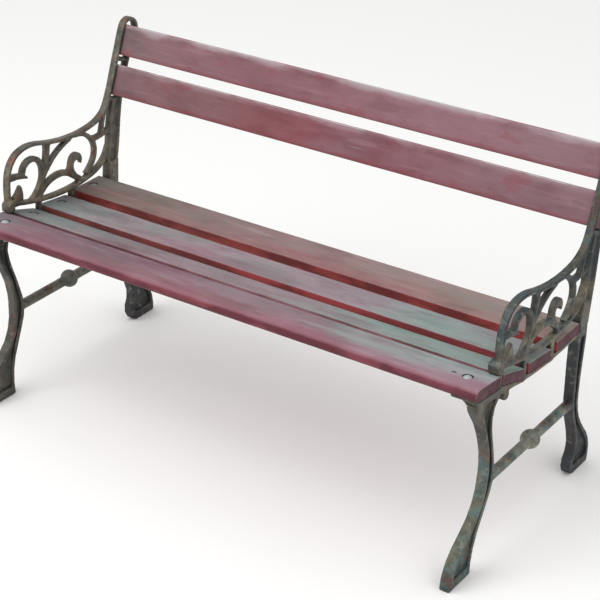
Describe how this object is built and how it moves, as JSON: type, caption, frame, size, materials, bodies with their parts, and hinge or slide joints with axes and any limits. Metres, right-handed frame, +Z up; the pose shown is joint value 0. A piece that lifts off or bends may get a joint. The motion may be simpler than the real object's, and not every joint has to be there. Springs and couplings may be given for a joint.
{
  "type": "garden bench",
  "caption": "Two-seat garden bench: scrolled cast iron end frames with arms carry bolted wooden seat and back slats in worn paint.",
  "frame": {"origin": "on the ground, at the middle of the bench's length and depth", "axes": "+X along the bench, to the right seen from the front; +Y to the rear, so a sitter faces -Y; +Z up"},
  "size_m": [1.1926, 0.5594, 0.7158],
  "materials": {
    "cast_iron": "old dark green paint worn to patina",
    "seat_wood": "grey weathered wood with worn red paint",
    "back_wood": "faded mauve red paint",
    "zinc_steel": "dull zinc"
  },
  "bodies": {
    "root": {"left_end_frame": "cast_iron", "right_end_frame": "cast_iron", "seat_slat_front": "seat_wood", "seat_slat_second": "seat_wood", "seat_slat_third": "seat_wood", "seat_slat_rear": "seat_wood", "back_slat_lower": "back_wood", "back_slat_upper": "back_wood", "bolt_seat_front_left": "zinc_steel", "bolt_seat_front_right": "zinc_steel", "bolt_seat_second_left": "zinc_steel", "bolt_seat_second_right": "zinc_steel", "bolt_seat_third_left": "zinc_steel", "bolt_seat_third_right": "zinc_steel", "bolt_seat_rear_left": "zinc_steel", "bolt_seat_rear_right": "zinc_steel", "bolt_back_lower_left": "zinc_steel", "bolt_back_lower_right": "zinc_steel", "bolt_back_upper_left": "zinc_steel", "bolt_back_upper_right": "zinc_steel", "washer_seat_front_left": "zinc_steel", "washer_seat_front_right": "zinc_steel", "washer_seat_second_left": "zinc_steel", "washer_seat_second_right": "zinc_steel", "washer_seat_third_left": "zinc_steel", "washer_seat_third_right": "zinc_steel", "washer_seat_rear_left": "zinc_steel", "washer_seat_rear_right": "zinc_steel", "washer_back_lower_left": "zinc_steel", "washer_back_lower_right": "zinc_steel", "washer_back_upper_left": "zinc_steel", "washer_back_upper_right": "zinc_steel", "nut_seat_front_left": "zinc_steel", "nut_seat_front_right": "zinc_steel", "nut_seat_second_left": "zinc_steel", "nut_seat_second_right": "zinc_steel", "nut_seat_third_left": "zinc_steel", "nut_seat_third_right": "zinc_steel", "nut_seat_rear_left": "zinc_steel", "nut_seat_rear_right": "zinc_steel", "nut_back_lower_left": "zinc_steel", "nut_back_lower_right": "zinc_steel", "nut_back_upper_left": "zinc_steel", "nut_back_upper_right": "zinc_steel"}
  },
  "joints": []
}
